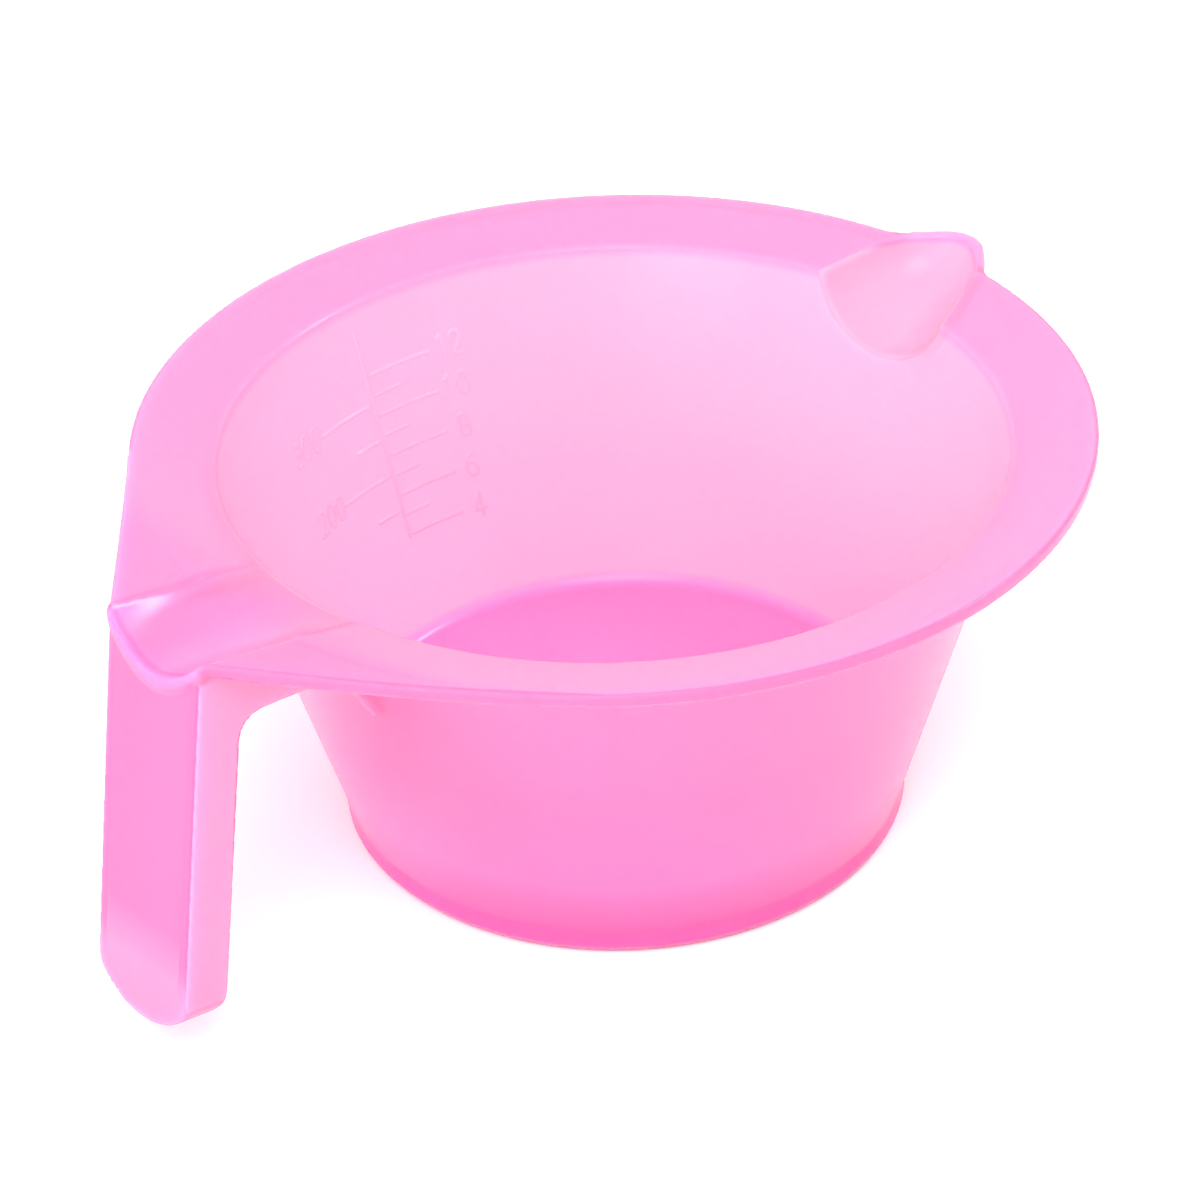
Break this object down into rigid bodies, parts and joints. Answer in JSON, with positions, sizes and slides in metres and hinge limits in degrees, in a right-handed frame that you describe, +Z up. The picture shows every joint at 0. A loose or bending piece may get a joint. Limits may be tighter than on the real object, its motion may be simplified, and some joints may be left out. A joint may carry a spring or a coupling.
{
  "type": "hair color mixing bowl",
  "caption": "Plastic hair color mixing bowl with a wide rim, a pouring spout, a hanging channel handle with a brush rest, and a raised ml and oz scale inside.",
  "frame": {"origin": "centre of the foot's resting circle, on the table", "axes": "+Z up along the bowl's axis, +X out through the pouring spout, -X out through the handle, +Y towards the inner wall that carries the scale"},
  "size_m": [0.1817, 0.15, 0.0716],
  "materials": {
    "tint_plastic": "translucent pink polypropylene, softly glossy inside and out"
  },
  "bodies": {
    "root": {"bowl_wall": "tint_plastic", "bowl_floor": "tint_plastic", "foot_skirt": "tint_plastic", "foot_bead": "tint_plastic", "rim_flange": "tint_plastic", "rim_lip": "tint_plastic", "pour_spout": "tint_plastic", "brush_rest_lug": "tint_plastic", "grip_plate": "tint_plastic", "grip_side_left": "tint_plastic", "grip_side_right": "tint_plastic", "grip_end": "tint_plastic", "scale_line": "tint_plastic", "ticks_ml": "tint_plastic", "ticks_oz": "tint_plastic", "numerals_ml": "tint_plastic", "numerals_oz": "tint_plastic"}
  },
  "joints": []
}
